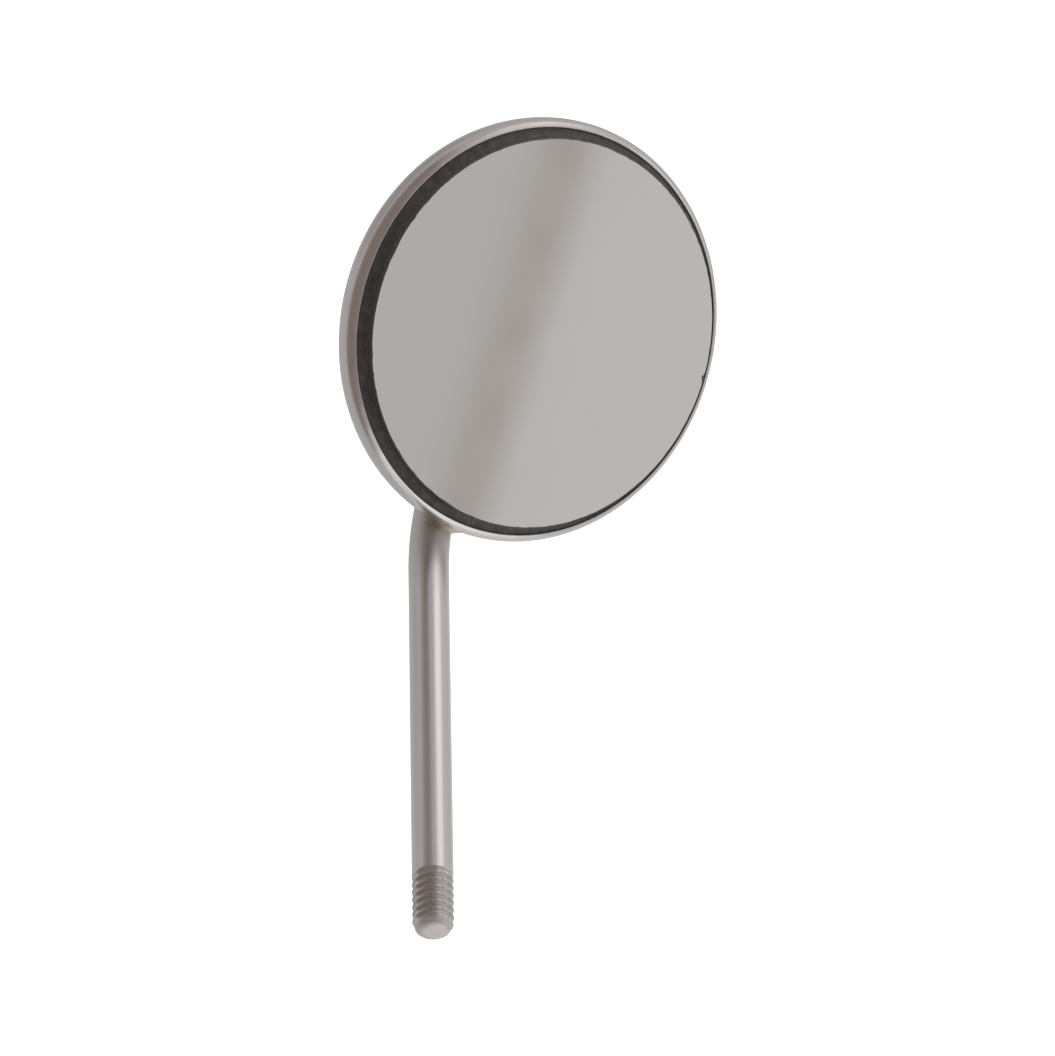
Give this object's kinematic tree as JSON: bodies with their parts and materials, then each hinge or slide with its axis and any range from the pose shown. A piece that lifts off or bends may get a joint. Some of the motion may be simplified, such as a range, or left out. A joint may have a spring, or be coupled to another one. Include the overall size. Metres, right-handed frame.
{
  "type": "mouth mirror head",
  "caption": "Round front-surface dental mirror set in a crimped steel cup, with a bent stem that ends in a screw thread.",
  "frame": {"origin": "on the stem's axis where its full thread starts", "axes": "+Z along the straight stem towards its free threaded end; the mirror faces -Y and upwards, 40 degrees from the stem; X = 0 is the plane of symmetry"},
  "size_m": [0.0262, 0.0204, 0.0493],
  "materials": {
    "stem_steel": "turned and polished stainless steel rod, satin with fine marks along it",
    "cup_steel": "pressed stainless steel sheet, tumbled satin, burnished where the lip is rolled in",
    "braze": "silver braze, polished over with the neck",
    "glass": "clear float glass with ground edges",
    "mirror_film": "vacuum-coated rhodium film, mirror bright and slightly darker than silver",
    "black_cement": "black epoxy cement, smooth with slight unevenness",
    "bed_cement": "grey cement, hidden under the glass"
  },
  "bodies": {
    "root": {"stem": "stem_steel", "mirror_cup": "cup_steel", "braze_fillet": "braze", "mirror_glass": "glass", "reflective_coating": "mirror_film", "edge_seal": "black_cement", "cement_bed": "bed_cement"}
  },
  "joints": []
}
